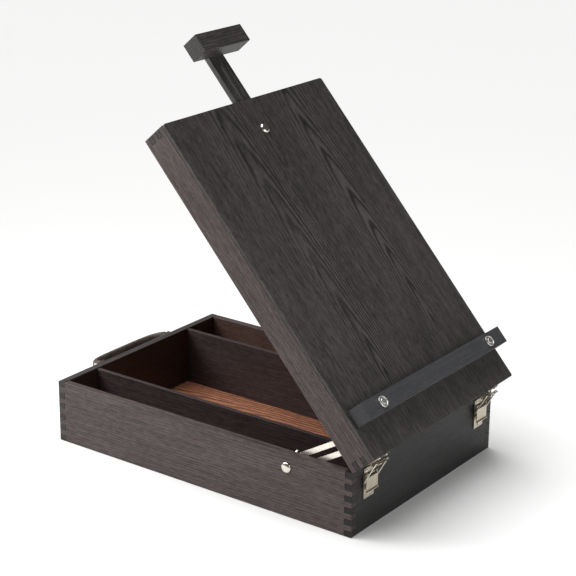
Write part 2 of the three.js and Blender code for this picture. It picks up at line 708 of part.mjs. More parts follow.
/** The wire bail, leaning out from upright by the given angle about its lower ends. */
function latchBail(lean) {
  const reach = LATCH_HALF + GAP + BAIL_WIRE / 2;
  const stub = PLATE_HALF + GAP;
  const along = (x, distance) => new THREE.Vector3(
    x,
    -LATCH_PIVOT_OUT - distance * Math.sin(lean),
    -BAIL_DROP + distance * Math.cos(lean),
  );
  return wire([
    along(-stub, 0),
    along(-reach, 0),
    along(-reach, BAIL_LENGTH),
    along(reach, BAIL_LENGTH),
    along(reach, 0),
    along(stub, 0),
  ], BAIL_WIRE / 2);
}

/**
 * The hook plate on the lid's rail, whose lip runs up to the given height: Y is out from
 * the rail, Z is up from the seam.
 */
function latchCatch(lipEnd) {
  const back = -GAP;
  const front = back - LATCH_SHEET;
  const outline = roundedRectangle(-LATCH_HALF, CATCH_START, LATCH_HALF, CATCH_END, SHEET_CORNER);
  for (const side of [-1, 1]) {
    outline.holes.push(roundHole(side * CATCH_SCREW_OUT, CATCH_END - CATCH_SCREW_INSET,
      SCREW_HOLE_RADIUS));
  }
  const plate = facingMinusY(sheet(outline, LATCH_SHEET, CORNER_SEGMENTS)).translate(0, back, 0);
  const root = (GAP - front) / 2;
  const lip = CATCH_HOOK_REACH - LATCH_SHEET;
  const hook = new THREE.Shape([
    new THREE.Vector2(root, CATCH_HOOK_START),
    new THREE.Vector2(lip, CATCH_HOOK_START),
    new THREE.Vector2(CATCH_HOOK_REACH, CATCH_HOOK_START + LATCH_SHEET),
    new THREE.Vector2(CATCH_HOOK_REACH, lipEnd),
    new THREE.Vector2(lip, lipEnd),
    new THREE.Vector2(lip, CATCH_HOOK_START + LATCH_SHEET),
    new THREE.Vector2(root, CATCH_HOOK_START + LATCH_SHEET),
  ]);
  const tongue = facingX(sheet(hook, CATCH_HOOK_WIDTH))
    .rotateZ(Math.PI)
    .translate(CATCH_HOOK_WIDTH / 2, 0, 0);
  return join(plate, tongue);
}

/** Two latches at the front, hooked up as the lid's hinges, and two at the back. */
function addLatches() {
  for (const [end, direction] of [['front', -1], ['back', 1]]) {
    for (const [name, side] of [['left', -1], ['right', 1]]) {
      const x = side * (HALF_WIDTH - LATCH_FROM_SIDE);
      const seat = new THREE.Group();
      seat.position.set(x, direction * HALF_LENGTH, BASE_HEIGHT);
      seat.rotation.z = direction > 0 ? Math.PI : 0;
      model.add(seat);
      const label = `${end}_${name}`;
      const lean = direction > 0 ? BAIL_LEAN_BACK : BAIL_LEAN_FRONT;
      const lipEnd = direction > 0 ? CATCH_LIP_END_BACK : CATCH_LIP_END_FRONT;
      addPiece(seat, `latch_plate_${label}`, latchPlate(), nickel());
      addPiece(seat, `latch_pin_${label}`, latchPin(), nickel());
      addPiece(seat, `latch_lever_${label}`, latchLever(), nickel());
      addPiece(seat, `latch_bail_${label}`, latchBail(lean), nickel());
      const catchSeat = new THREE.Group();
      catchSeat.position.set(x, direction > 0 ? BOX_LENGTH : 0, 0);
      catchSeat.rotation.z = direction > 0 ? Math.PI : 0;
      lid.add(catchSeat);
      addPiece(catchSeat, `latch_catch_${label}`, latchCatch(lipEnd), nickel());
    }
  }
}

// ---------------------------------------------------------------- carrying handle

/** The arched grip with a round eye at each end, drooping a little as it stands out. */
function handleGrip() {
  const half = HANDLE_SPAN / 2;
  const place = (x, reach) => new THREE.Vector3(
    x,
    HANDLE_PIVOT_OUT + reach * Math.cos(HANDLE_DROOP),
    -reach * Math.sin(HANDLE_DROOP),
  );
  // Each leg leaves its eye straight out and bends over once it is clear of the lugs.
  const leg = [
    [half, 0],
    [half, HANDLE_LEG_STRAIGHT],
    [half - GRIP_WIDTH / 2, HANDLE_LEG_BEND],
    [half - GRIP_WIDTH * 1.6, HANDLE_LEG_LEVEL],
  ];
  const path = new THREE.CatmullRomCurve3([
    ...leg.map(([x, reach]) => place(-x, reach)),
    place(0, HANDLE_REACH),
    ...leg.map(([x, reach]) => place(x, reach)).reverse(),
  ]);
  const section = new THREE.Shape()
    .absellipse(0, 0, GRIP_THICKNESS / 2, GRIP_WIDTH / 2, 0, Math.PI * 2, false, 0);
  const grip = new THREE.ExtrudeGeometry(section, {
    extrudePath: path,
    steps: GRIP_STEPS,
    curveSegments: SMALL_SIDES / 2,
    bevelEnabled: false,
  });
  const eyes = [-1, 1].map((side) => rodAlongX(HANDLE_EYE_RADIUS, GRIP_WIDTH,
    side * half, HANDLE_PIVOT_OUT, 0, ROUND_SIDES));
  const bores = [-1, 1].map((side) => rodAlongX(HANDLE_PIN_RADIUS + GAP, GRIP_WIDTH * 2,
    side * half, HANDLE_PIVOT_OUT, 0));
  return cut(join(grip, ...eyes), ...bores);
}

/** A wall plate with two lugs that hold one of the handle's eyes. */
function handleBracket() {
  const back = GAP;
  const front = back + BRACKET_SHEET;
  const inner = GRIP_WIDTH / 2 + RUNNING_FIT;
  const outer = inner + BRACKET_SHEET;
  const plate = block(
    [-outer, back, -BRACKET_BELOW],
    [outer, front, BRACKET_ABOVE],
  );
  const lugs = [-1, 1].map((side) => block(
    [Math.min(side * inner, side * outer), (back + front) / 2, -BRACKET_LUG_HALF],
    [Math.max(side * inner, side * outer), HANDLE_PIVOT_OUT + BRACKET_LUG_HALF,
      BRACKET_LUG_HALF],
  ));
  const bore = rodAlongX(HANDLE_PIN_RADIUS + GAP, outer * 4, 0, HANDLE_PIVOT_OUT, 0);
  const screws = BRACKET_SCREW_DROPS.map((drop) =>
    rodAlongY(SCREW_HOLE_RADIUS, BRACKET_SHEET * 4, 0, front, -drop));
  return cut(join(plate, ...lugs), bore, ...screws);
}

function addHandle() {
  const seat = new THREE.Group();
  seat.position.set(0, HALF_LENGTH, HANDLE_HEIGHT);
  model.add(seat);
  addPiece(seat, 'handle_grip', handleGrip(), leather());
  const pinLength = GRIP_WIDTH + 2 * (RUNNING_FIT + BRACKET_SHEET) + GAP;
  for (const [name, side] of [['left', -1], ['right', 1]]) {
    const x = side * HANDLE_SPAN / 2;
    addPiece(seat, `handle_bracket_${name}`, handleBracket().translate(x, 0, 0), nickel());
    const pin = rodAlongX(HANDLE_PIN_RADIUS, pinLength, x, HANDLE_PIVOT_OUT, 0);
    addPiece(seat, `handle_pin_${name}`, pin, nickel());
  }
}

addBaseWalls();
addBaseInside();
addLidRails();
addLidPanel();
addMast();
addMastClamp();
addLedge();
addStays();
addLatches();
addHandle();

export default model;
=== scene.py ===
"""Looks of the table-top box easel: stained boards, nickel fittings, a leather handle.

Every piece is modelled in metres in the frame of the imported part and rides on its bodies.
The sub-assemblies are the case, the lid, the mast, the ledge, two stays, four latches, the
screws and the handle, and the studio stands around them.
"""

import json
import logging
import math
from collections.abc import Iterator, Sequence
from contextlib import contextmanager
from dataclasses import dataclass, field
from enum import Enum

import bpy
from mathutils import Matrix, Vector


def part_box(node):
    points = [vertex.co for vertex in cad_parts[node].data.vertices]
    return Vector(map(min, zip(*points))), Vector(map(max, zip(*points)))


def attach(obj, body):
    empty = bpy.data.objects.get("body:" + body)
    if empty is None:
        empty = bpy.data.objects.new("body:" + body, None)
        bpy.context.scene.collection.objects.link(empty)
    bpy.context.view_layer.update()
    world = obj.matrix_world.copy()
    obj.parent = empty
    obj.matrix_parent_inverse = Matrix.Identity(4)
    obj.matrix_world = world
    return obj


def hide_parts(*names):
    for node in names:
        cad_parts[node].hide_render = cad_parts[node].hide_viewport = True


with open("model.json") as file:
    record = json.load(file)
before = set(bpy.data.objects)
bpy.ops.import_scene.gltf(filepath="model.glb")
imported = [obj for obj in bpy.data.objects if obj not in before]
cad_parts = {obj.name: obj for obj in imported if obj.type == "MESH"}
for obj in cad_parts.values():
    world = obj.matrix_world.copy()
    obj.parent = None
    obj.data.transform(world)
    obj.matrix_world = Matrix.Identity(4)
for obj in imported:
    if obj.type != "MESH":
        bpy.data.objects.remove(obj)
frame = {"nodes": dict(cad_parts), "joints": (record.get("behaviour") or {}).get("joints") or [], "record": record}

LOG = logging.getLogger("easel")
MM = 0.001
TINY = MM / 1000
RECORD = frame["record"]
BODY_OF = {node: body for body, nodes in RECORD["behaviour"]["bodies"].items() for node in nodes}
JOINTS = {joint["name"]: joint for joint in frame["joints"]}
SIDES = ("left", "right")
ENDS = ("front", "back")
X_AXIS = Vector((1, 0, 0))
Y_AXIS = Vector((0, 1, 0))
Z_AXIS = Vector((0, 0, 1))


# ------------------------------------------------------------------ places in the frame


def lid_frame() -> Matrix:
    """Returns the lid's own frame: X to the right, Y up the lid, Z out of its face."""
    up = Vector(JOINTS["mast_slide"]["axis"]).normalized()
    out = X_AXIS.cross(up)
    turn = Matrix((X_AXIS, up, out)).transposed().to_4x4()
    return Matrix.Translation(Vector(JOINTS["lid_tilt"]["pos_m"])) @ turn


LID = lid_frame()
BOX = Matrix.Identity(4)


def moved(x: float, y: float, z: float) -> Matrix:
    """Returns a move by the given distances."""
    return Matrix.Translation(Vector((x, y, z)))


def facing(degrees: float, axis: str) -> Matrix:
    """Returns a turn about one of the frame's axes."""
    return Matrix.Rotation(math.radians(degrees), 4, axis)


def extent(node: str, place: Matrix) -> tuple[Vector, Vector]:
    """Measures a CAD node in a frame of its own.

    Args:
        node: The node's name.
        place: The frame to measure in.

    Returns:
        Its lowest and highest corners in that frame.
    """
    inverse = place.inverted()
    points = [inverse @ vertex.co for vertex in frame["nodes"][node].data.vertices]
    low = Vector(min(point[axis] for point in points) for axis in range(3))
    high = Vector(max(point[axis] for point in points) for axis in range(3))
    return low, high


def pivot_of(joint: str) -> Vector:
    """Returns the point that a joint turns about."""
    return Vector(JOINTS[joint]["pos_m"])


def middle(node: str, place: Matrix) -> Vector:
    """Returns the middle of a CAD node's box, measured in the given frame."""
    low, high = extent(node, place)
    return (low + high) / 2


# ------------------------------------------------------------------ modelling by operators


def select_only(piece: bpy.types.Object) -> None:
    """Deselects everything, then selects the piece and makes it active."""
    bpy.ops.object.select_all(action="DESELECT")
    piece.select_set(True)
    bpy.context.view_layer.objects.active = piece


@contextmanager
def editing(piece: bpy.types.Object) -> Iterator[None]:
    """Opens the piece in edit mode, with all of it selected at first."""
    select_only(piece)
    bpy.ops.object.mode_set(mode="EDIT")
    bpy.ops.mesh.select_all(action="SELECT")
    yield
    bpy.ops.object.mode_set(mode="OBJECT")


def apply_modifier(piece: bpy.types.Object, kind: str, **settings: object) -> None:
    """Adds a modifier with its settings to the piece and applies it."""
    select_only(piece)
    modifier = piece.modifiers.new(kind.title(), kind)
    for name, value in settings.items():
        setattr(modifier, name, value)
    bpy.ops.object.modifier_apply(modifier=modifier.name)


def settle(piece: bpy.types.Object, place: Matrix = BOX) -> None:
    """Puts the piece at a place in the frame and moves that place into its mesh."""
    select_only(piece)
    piece.matrix_world = place @ piece.matrix_world
    bpy.ops.object.transform_apply(location=True, rotation=True, scale=True)


def smooth(piece: bpy.types.Object, degrees: float = 35) -> None:
    """Shades the piece smooth, except across edges sharper than the angle."""
    select_only(piece)
    bpy.ops.object.shade_smooth_by_angle(angle=math.radians(degrees))


def copy_of(node: str, name: str, merge_flats: bool = True) -> bpy.types.Object:
    """Copies a CAD node's shape into a new piece with its loose triangles joined.

    Args:
        node: The CAD node to copy.
        name: The new piece's name.
        merge_flats: Whether the triangles of each flat side become one face.

    Returns:
        The new piece, at the origin with its place in its mesh.
    """
    piece = bpy.data.objects.new(name, frame["nodes"][node].data.copy())
    piece.data.name = name
    bpy.context.scene.collection.objects.link(piece)
    piece.data.materials.clear()
    with editing(piece):
        bpy.ops.mesh.remove_doubles(threshold=TINY)
        if merge_flats:
            bpy.ops.mesh.dissolve_limited(angle_limit=math.radians(1))
    return piece


def soften(piece: bpy.types.Object, width: float, segments: int) -> None:
    """Rounds the piece's sharp edges by a small width, with its flat faces shaded flat."""
    apply_modifier(piece, "BEVEL", width=width, segments=segments, limit_method="ANGLE",
                   angle_limit=math.radians(30), miter_outer="MITER_ARC")
    smooth(piece)
    apply_modifier(piece, "WEIGHTED_NORMAL", keep_sharp=True)


def disc(name: str, sides: int, radius: float, centre: Sequence[float],
         axis: Vector = Z_AXIS) -> bpy.types.Object:
    """Adds a filled disc that later extrusions start from.

    Args:
        name: The piece's name.
        sides: How many sides the disc has.
        radius: Its radius.
        centre: Its middle.
        axis: The direction that it faces.

    Returns:
        The disc, at the origin with its place in its mesh.
    """
    bpy.ops.object.select_all(action="DESELECT")
    bpy.ops.mesh.primitive_circle_add(vertices=sides, radius=radius, fill_type="NGON",
                                      location=centre,
                                      rotation=axis.to_track_quat("Z", "X").to_euler())
    piece = bpy.context.object
    piece.name = name
    settle(piece)
    return piece


def turned(name: str, profile: Sequence[tuple[float, float]], sides: int = 40) -> bpy.types.Object:
    """Turns a round piece about +Z from a disc, by one extrusion for each profile point.

    Args:
        name: The piece's name.
        profile: Pairs of radius and height, from the first end to the last.
        sides: How many sides the round has.

    Returns:
        The closed piece, standing on the Z axis.
    """
    radius, height = profile[0]
    piece = disc(name, sides, radius, (0, 0, height))
    with editing(piece):
        for next_radius, next_height in profile[1:]:
            rise = (0, 0, next_height - height)
            bpy.ops.mesh.extrude_region_move(TRANSFORM_OT_translate={"value": rise})
            ratio = next_radius / radius
            bpy.ops.transform.resize(value=(ratio, ratio, 1),
                                     center_override=(0, 0, next_height))
            radius, height = next_radius, next_height
        bpy.ops.mesh.select_all(action="SELECT")
        bpy.ops.mesh.normals_make_consistent(inside=False)
    smooth(piece)
    return piece


def bent_wire(name: str, points: Sequence[Vector], wire: float, bend: float) -> bpy.types.Object:
    """Bends a round wire through the points, by extruding it straight and spinning corners.

    Args:
        name: The piece's name.
        points: The wire's ends and corners in order.
        wire: The wire's radius.
        bend: The radius of each bend, on the wire's middle line.

    Returns:
        The closed wire.
    """
    piece = disc(name, 14, wire, points[0], (points[1] - points[0]).normalized())
    at = points[0].copy()
    with editing(piece):
        for corner, after in zip(points[1:-1], points[2:]):
            heading = (corner - at).normalized()
            leaving = (after - corner).normalized()
            turn = heading.angle(leaving)
            back = bend * math.tan(turn / 2)
            start = corner - heading * back
            bpy.ops.mesh.extrude_region_move(TRANSFORM_OT_translate={"value": start - at})
            axis = heading.cross(leaving).normalized()
            centre = start + axis.cross(heading) * bend
            bpy.ops.mesh.spin(steps=6, angle=-turn, center=centre, axis=axis)
            at = corner + leaving * back
        bpy.ops.mesh.extrude_region_move(TRANSFORM_OT_translate={"value": points[-1] - at})
        bpy.ops.mesh.select_all(action="SELECT")
        bpy.ops.mesh.remove_doubles(threshold=TINY)
        bpy.ops.mesh.normals_make_consistent(inside=False)
    smooth(piece, 60)
    return piece


def fit_in(piece: bpy.types.Object, node: str, finish: "Finish") -> None:
    """Hands a finished piece over: it stands for the CAD node and rides on its body."""
    piece.data.materials.clear()
    piece.data.materials.append(finish.material())
    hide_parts(node)
    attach(piece, BODY_OF[node])
    LOG.info("%s stands for %s on %s", piece.name, node, BODY_OF[node])


# ------------------------------------------------------------------ shader sockets


class Value:
    """A number socket in a node tree that takes part in Python arithmetic."""

    def __init__(self, tree: bpy.types.NodeTree, socket: bpy.types.NodeSocket) -> None:
        """Wraps a socket of the tree."""
        self.tree = tree
        self.socket = socket

    def calc(self, operation: str, *others: "Value | float") -> "Value":
        """Adds one Math node.

        Args:
            operation: The Math node's operation.
            others: Its second and third inputs.

        Returns:
            The node's result.
        """
        node = self.tree.nodes.new("ShaderNodeMath")
        node.operation = operation
        for target, value in zip(node.inputs, (self, *others)):
            feed(self.tree, target, value)
        return Value(self.tree, node.outputs[0])

    def __add__(self, other: "Value | float") -> "Value":
        """Returns self + other."""
        return self.calc("ADD", other)

    __radd__ = __add__

    def __sub__(self, other: "Value | float") -> "Value":
        """Returns self - other."""
        return self.calc("SUBTRACT", other)

    def __rsub__(self, other: float) -> "Value":
        """Returns other - self."""
        return self.calc("MULTIPLY_ADD", -1.0, other)

    def __mul__(self, other: "Value | float") -> "Value":
        """Returns self * other."""
        return self.calc("MULTIPLY", other)

    __rmul__ = __mul__

    def __truediv__(self, other: "Value | float") -> "Value":
        """Returns self / other."""
        return self.calc("DIVIDE", other)

    def __abs__(self) -> "Value":
        """Returns the size of self without its sign."""
        return self.calc("ABSOLUTE")

    def band(self, low: float, high: float, to_low: float = 0, to_high: float = 1) -> "Value":
        """Returns the value mapped smoothly from one range to another, held at its ends."""
        node = self.tree.nodes.new("ShaderNodeMapRange")
        node.interpolation_type = "SMOOTHSTEP"
        for target, value in zip(node.inputs, (self, low, high, to_low, to_high)):
            feed(self.tree, target, value)
        return Value(self.tree, node.outputs[0])


def feed(tree: bpy.types.NodeTree, target: bpy.types.NodeSocket, value: object) -> None:
    """Links a value or socket to the target, or sets a plain number or colour on it."""
    if isinstance(value, Value):
        value = value.socket
    if isinstance(value, bpy.types.NodeSocket):
        tree.links.new(value, target)
    else:
        target.default_value = value


class Shader:
    """One material being built: its node tree and its Principled shader."""

    def __init__(self, name: str) -> None:
        """Starts a material with only a Principled shader and an output."""
        self.material = bpy.data.materials.new(name)
        self.material.use_nodes = True
        self.tree = self.material.node_tree
        self.tree.nodes.clear()
        self.surface = self.tree.nodes.new("ShaderNodeBsdfPrincipled")
        output = self.tree.nodes.new("ShaderNodeOutputMaterial")
        self.tree.links.new(self.surface.outputs["BSDF"], output.inputs["Surface"])

    def node(self, kind: str, settings: dict[str, object] | None = None,
             **inputs: object) -> bpy.types.Node:
        """Adds any node.

        Args:
            kind: The node's type without its ShaderNode prefix.
            settings: Properties set before its sockets are.
            inputs: Values or links of its sockets; _ in a name stands for a space.

        Returns:
            The new node.
        """
        made = self.tree.nodes.new(f"ShaderNode{kind}")
        for name, value in (settings or {}).items():
            setattr(made, name, value)
        for name, value in inputs.items():
            feed(self.tree, made.inputs[name.replace("_", " ")], value)
        return made

    def value(self, node: bpy.types.Node, output: str | int = 0) -> Value:
        """Returns one of the node's outputs as a value."""
        return Value(self.tree, node.outputs[output])

    def position(self, turn: Matrix = Matrix.Identity(3),
                 centre: Vector = Vector()) -> bpy.types.NodeSocket:
        """Gives the place on the object in a piece's own directions.

        Args:
            turn: Its rows are the piece's own directions.
            centre: The point that becomes the origin.

        Returns:
            The vector socket.
        """
        place = self.node("TexCoord").outputs["Object"]
        mapping = self.node("Mapping", {"vector_type": "POINT"}, Vector=place,
                            Location=tuple(-(turn @ centre)),
                            Rotation=tuple(turn.to_euler("XYZ")))
        return mapping.outputs[0]

    def combined(self, operation: str, vector: bpy.types.NodeSocket,
                 other: Sequence[float]) -> bpy.types.NodeSocket:
        """Returns the vector added to or multiplied by a constant vector."""
        node = self.node("VectorMath", {"operation": operation})
        feed(self.tree, node.inputs[0], vector)
        feed(self.tree, node.inputs[1], tuple(other))
        return node.outputs[0]

    def noise(self, vector: bpy.types.NodeSocket, scale: Sequence[float] | float,
              detail: float = 2, roughness: float = 0.5) -> Value:
        """Returns a noise texture's value.

        Args:
            vector: Where the noise is read.
            scale: How finely, as one number or as one for each direction.
            detail: How many finer layers are added.
            roughness: How strong each finer layer is.

        Returns:
            The noise, about 0.5 on average.
        """
        even = isinstance(scale, (int, float))
        if not even:
            vector = self.combined("MULTIPLY", vector, scale)
        return self.value(self.node("TexNoise", Vector=vector, Scale=scale if even else 1,
                                    Detail=detail, Roughness=roughness))

    def attribute(self, name: str) -> Value:
        """Returns a number stored on the piece's mesh."""
        return self.value(self.node("Attribute", {"attribute_name": name}), "Fac")

    def blend(self, share: Value | float, first: object, second: object) -> bpy.types.NodeSocket:
        """Mixes two colours by a share and returns the colour socket."""
        mix = self.node("Mix", {"data_type": "RGBA"})
        for socket, value in zip((mix.inputs[0], mix.inputs[6], mix.inputs[7]),
                                 (share, first, second)):
            feed(self.tree, socket, value)
        return mix.outputs[2]

    def bump(self, height: Value, distance: float) -> None:
        """Raises the surface's normal by a height."""
        raised = self.node("Bump", Height=height, Distance=distance, Strength=1.0)
        self.tree.links.new(raised.outputs[0], self.surface.inputs["Normal"])

    def finish(self, **inputs: object) -> bpy.types.Material:
        """Sets the shader's sockets and returns the material."""
        for name, value in inputs.items():
            feed(self.tree, self.surface.inputs[name.replace("_", " ")], value)
        return self.material


Colour = tuple[float, float, float, float]


def rgb(red: float, green: float, blue: float) -> Colour:
    """Returns an opaque colour."""
    return (red, green, blue, 1.0)


def scaled(colour: Colour, factor: float) -> Colour:
    """Returns an opaque colour made lighter or darker by a factor."""
    return rgb(*(factor * part for part in colour[:3]))


# ------------------------------------------------------------------ finishes


class Finish:
    """Anything that can make the material of a piece."""

    def material(self) -> bpy.types.Material:
        """Builds the material."""
        raise NotImplementedError


class Lie(Enum):
    """How a board lies: its directions across the face, along the grain and through it."""

    SIDE_BOARD = (Z_AXIS, Y_AXIS, X_AXIS)
    END_BOARD = (Z_AXIS, X_AXIS, Y_AXIS)
    FLAT_BOARD = (X_AXIS, Y_AXIS, Z_AXIS)
    CROSS_BOARD = (Y_AXIS, X_AXIS, Z_AXIS)


@dataclass(frozen=True)
class Stain:
    """The colours of a stained wood: its ground, fibres and open pores, and its inner face."""

    ground: Colour
    fibre: Colour
    pore: Colour
    inner: Colour


EBONY = Stain(rgb(0.025, 0.0224, 0.0216), rgb(0.082, 0.074, 0.071),
              rgb(0.0068, 0.0061, 0.0061), rgb(0.045, 0.027, 0.021))
# Painted shade: a darker copy of the ebony stain, for the front wall that faces away from the lights.
EBONY_PAINTED_SHADE = Stain(rgb(0.0103, 0.0095, 0.0092), rgb(0.0287, 0.0267, 0.0259),
             rgb(0.0035, 0.0032, 0.0032), rgb(0.045, 0.027, 0.021))
SMOKED = Stain(rgb(0.0315, 0.0225, 0.0216), rgb(0.108, 0.081, 0.0783),
               rgb(0.0096, 0.0072, 0.0072), rgb(0.062, 0.034, 0.026))
RUSSET = Stain(rgb(0.152, 0.0544, 0.0288), rgb(0.432, 0.176, 0.096),
               rgb(0.0364, 0.014, 0.0098), rgb(0.18, 0.068, 0.038))
UMBER = Stain(rgb(0.0272, 0.0184, 0.0184), rgb(0.0688, 0.048, 0.048),
              rgb(0.0112, 0.007, 0.007), rgb(0.036, 0.025, 0.025))
INK = Stain(rgb(0.0418, 0.0426, 0.0457), rgb(0.0636, 0.0643, 0.0682),
            rgb(0.0168, 0.0168, 0.0182), rgb(0.034, 0.033, 0.035))


@dataclass(frozen=True)
class Cut:
    """How a board was sawn from its log and how open its grain is.

    The pith lies at a place across and through the board, the taper tilts the rings along
    it, and a twin cut shows two arches of rings, each that far from the middle. An arch is
    how far from the middle of its rings they stay strong.
    """

    pith: tuple[float, float] = (0.02, -0.06)
    taper: float = 0.02
    ring: float = 0.0034
    twin: float = 0.0
    ring_depth: float = 0.35
    arch: float = 0.0
    pores: float = 0.6
    gloss: float = 0.46


@dataclass(frozen=True)
class Timber(Finish):
    """Open-grained wood cut from a log whose rings the board shows.

    The scales are how finely each pattern runs across, along and through the board.
    """

    name: str
    stain: Stain
    lie: Lie
    place: Matrix
    centre: Vector
    cut: Cut
    seed: float
    speck_scale: tuple[float, float, float] = (380, 95, 380)
    streak_scale: tuple[float, float, float] = (300, 13, 300)
    pore_scale: tuple[float, float, float] = (700, 110, 700)
    cloud_scale: tuple[float, float, float] = (16, 5, 16)
    year_scale: tuple[float, float, float] = (45, 2, 45)
    sway_scale: tuple[float, float, float] = (13, 3, 13)
    ripple_scale: tuple[float, float, float] = (110, 20, 110)
    rub_scale: float = 90
    inner_lift: float = 1.9
    sway: float = 0.02
    sink: float = 0.016
    ripple: float = 0.0016
    relief: float = 0.00022

    def material(self) -> bpy.types.Material:
        """Builds rings, fibres and pores that run through the board as they do in a log."""
        shader = Shader(self.name)
        rows = [self.place.to_3x3() @ axis for axis in self.lie.value]
        local = shader.position(Matrix(rows), self.centre)
        shift = (self.seed, self.seed * 1.7, self.seed * 0.6)
        grain = shader.combined("ADD", local, shift)
        early, late = self.rings(shader, local, grain)
        speck = shader.noise(grain, self.speck_scale, 3, 0.7)
        streak = shader.noise(grain, self.streak_scale, 4, 0.62)
        cloud = shader.noise(grain, self.cloud_scale, 5, 0.6)
        open_grain = shader.noise(grain, self.pore_scale, 2, 0.6).band(0.53, 0.62)
        pores = open_grain * (0.4 + 0.6 * early) * self.cut.pores

        tone = speck.band(0.36, 0.64) * 0.42 + streak.band(0.36, 0.64) * 0.36
        tone = tone + cloud.band(0.3, 0.7) * 0.22 + late * 0.55
        colour = self.colour(shader, grain, tone, early, pores)

        shader.bump(1 - early * 0.6 - pores + speck * 0.3 + streak * 0.3, self.relief)
        rough = self.cut.gloss + early * 0.12 + pores * 0.15
        rough = rough + shader.attribute("end_grain") * 0.1
        rough = rough + (cloud - 0.5) * 0.16 + (speck - 0.5) * 0.12
        return shader.finish(Base_Color=colour, Roughness=rough, Specular_IOR_Level=0.3)

    def colour(self, shader: Shader, grain: bpy.types.NodeSocket, tone: Value, early: Value,
               pores: Value) -> bpy.types.NodeSocket:
        """Stains the wood.

        Args:
            shader: The material being built.
            grain: The place in the board, shifted by its seed.
            tone: How far a point is from the ground colour to the fibres' colour.
            early: How far a point is in the dark early wood.
            pores: How open the pores are.

        Returns:
            The colour, darker in the pores and end grain and lighter on rubbed edges.
        """
        stain = self.stain
        outer = shader.blend(tone, stain.ground, stain.fibre)
        inner = shader.blend(tone, stain.inner, scaled(stain.inner, self.inner_lift))
        colour = shader.blend(shader.attribute("inner"), outer, inner)
        for share in (early, pores, shader.attribute("end_grain") * 0.4):
            colour = shader.blend(share, colour, stain.pore)
        worn = shader.noise(grain, self.rub_scale, 3).band(0.42, 0.62)
        return shader.blend(shader.attribute("edge") * worn * 0.45, colour, stain.fibre)

    def rings(self, shader: Shader, local: bpy.types.NodeSocket,
              grain: bpy.types.NodeSocket) -> tuple[Value, Value]:
        """Works out where the board's face cuts the log's yearly rings.

        Args:
            shader: The material being built.
            local: The place in the board's own directions, from its middle.
            grain: The same place, shifted by the board's seed.

        Returns:
            How far a point is in the dark early wood, and in the light late wood.
        """
        cut = self.cut
        parts = shader.node("SeparateXYZ", Vector=local)
        across, along, through = (shader.value(parts, name) for name in "XYZ")
        sway = shader.noise(grain, self.sway_scale, 3) - 0.5
        ripple = shader.noise(grain, self.ripple_scale, 3, 0.6) - 0.5
        side = across - cut.pith[0]
        if cut.twin:
            side = abs(side) - cut.twin
        side = side + sway * self.sway
        depth = through - cut.pith[1] + along * cut.taper + sway * self.sink
        radius = (side * side + depth * depth).calc("SQRT") + ripple * self.ripple
        phase = (radius / cut.ring).calc("FRACT")
        year = shader.noise(grain, self.year_scale, 1).band(0.3, 0.7)
        strength = (0.25 + 0.75 * year) * cut.ring_depth
        if cut.arch:
            strength = strength * abs(side).band(cut.arch * 0.4, cut.arch, 1, 0.12)
        early = phase.band(0.0, 0.12) * phase.band(0.24, 0.5, 1, 0) * strength
        late = phase.band(0.35, 0.55) * phase.band(0.75, 0.95, 1, 0) * strength
        return early, late


@dataclass(frozen=True)
class Nickel(Finish):
    """Bright nickel plate on pressed steel, a little cloudy and finely scratched."""

    name: str = "nickel_plate"
    tint: Colour = rgb(0.7, 0.655, 0.57)
    rough: float = 0.2
    cloud_scale: float = 110
    scratch_scale: tuple[float, float, float] = (260, 2600, 900)
    scratch_depth: float = 0.01 * MM

    def material(self) -> bpy.types.Material:
        """Builds the plate, once for all the pieces that share its name."""
        if self.name in bpy.data.materials:
            return bpy.data.materials[self.name]
        shader = Shader(self.name)
        place = shader.position()
        cloud = shader.noise(place, self.cloud_scale, 5, 0.6)
        scratch = shader.noise(place, self.scratch_scale)
        colour = shader.blend(cloud.band(0.35, 0.75), self.tint, scaled(self.tint, 0.9))
        rough = self.rough + cloud.band(0.3, 0.75) * 0.06 + scratch.band(0.5, 0.7) * 0.05
        shader.bump(scratch, self.scratch_depth)
        return shader.finish(Base_Color=colour, Roughness=rough, Metallic=1.0)


@dataclass(frozen=True)
class Leather(Finish):
    """Dark brown leather with a fine pebbled grain."""

    name: str = "handle_leather"
    dark: Colour = rgb(0.045, 0.03, 0.024)
    light: Colour = rgb(0.095, 0.068, 0.056)
    pebble_scale: float = 900
    pebble_height: float = 0.2 * MM

    def material(self) -> bpy.types.Material:
        """Builds the leather."""
        shader = Shader(self.name)
        place = shader.position()
        pebbles = shader.value(shader.node("TexVoronoi", Vector=place, Scale=self.pebble_scale),
                               "Distance")
        cloud = shader.noise(place, 60, 4)
        colour = shader.blend(cloud.band(0.3, 0.7), self.dark, self.light)
        shader.bump(pebbles.band(0.0, 0.7) + cloud * 0.5, self.pebble_height)
        return shader.finish(Base_Color=colour, Roughness=0.42 + pebbles * 0.2)


NICKEL = Nickel()
WARM_NICKEL = Nickel("warm_nickel", rgb(0.56, 0.5, 0.4), 0.33)
STAY_NICKEL = Nickel("stay_nickel", rgb(0.84, 0.8, 0.72), 0.3)
SATIN_NICKEL = Nickel("satin_nickel", rgb(0.83, 0.81, 0.78), 0.36)


# ------------------------------------------------------------------ kinds of piece


